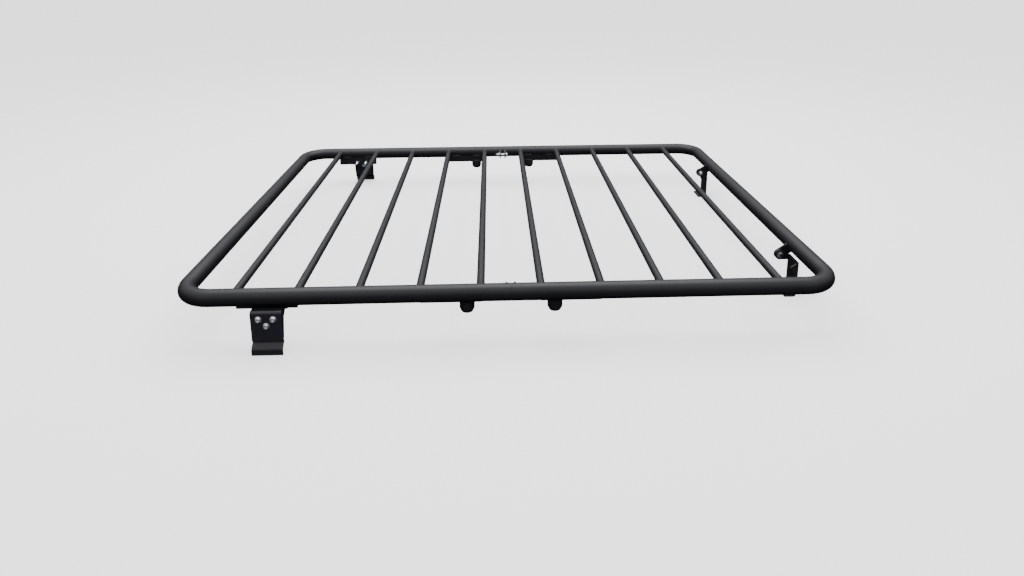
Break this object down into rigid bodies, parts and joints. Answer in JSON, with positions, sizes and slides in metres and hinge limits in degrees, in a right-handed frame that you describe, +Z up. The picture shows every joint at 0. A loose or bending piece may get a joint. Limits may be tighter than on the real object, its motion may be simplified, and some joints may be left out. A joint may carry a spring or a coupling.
{
  "type": "roof rack",
  "caption": "Flat tubular steel roof rack in two halves with round cross bars, gutter brackets at the front, rear brackets and rubber feet.",
  "frame": {"origin": "under the middle of the rack, at the level of the bracket feet", "axes": "+X towards the rear of the rack, +Y towards its right side, +Z up"},
  "size_m": [1.535, 1.24, 0.1399],
  "materials": {
    "frame_coat": "fine-textured satin black powder coat on steel tube",
    "bracket_coat": "fine-textured satin black powder coat on folded steel",
    "rubber": "moulded black rubber",
    "bolt_steel": "bright zinc-plated bolts"
  },
  "bodies": {
    "root": {"front_frame_tube": "frame_coat", "rear_frame_tube": "frame_coat", "cross_bar_01": "frame_coat", "cross_bar_02": "frame_coat", "cross_bar_03": "frame_coat", "cross_bar_04": "frame_coat", "cross_bar_05": "frame_coat", "cross_bar_06": "frame_coat", "cross_bar_07": "frame_coat", "cross_bar_08": "frame_coat", "cross_bar_09": "frame_coat", "cross_bar_10": "frame_coat", "front_support_plate_left": "frame_coat", "front_foot_plate_left": "frame_coat", "joint_tab_front_left": "frame_coat", "rear_foot_plate_left": "frame_coat", "joint_tab_rear_left": "frame_coat", "front_hanger_left": "bracket_coat", "gutter_bracket_left": "bracket_coat", "rear_lug_left": "frame_coat", "rear_bracket_left": "bracket_coat", "front_support_plate_right": "frame_coat", "front_foot_plate_right": "frame_coat", "joint_tab_front_right": "frame_coat", "rear_foot_plate_right": "frame_coat", "joint_tab_rear_right": "frame_coat", "front_hanger_right": "bracket_coat", "gutter_bracket_right": "bracket_coat", "rear_lug_right": "frame_coat", "rear_bracket_right": "bracket_coat", "rubber_foot_front_left": "rubber", "rubber_foot_rear_left": "rubber", "rubber_foot_front_right": "rubber", "rubber_foot_rear_right": "rubber"}
  },
  "joints": []
}
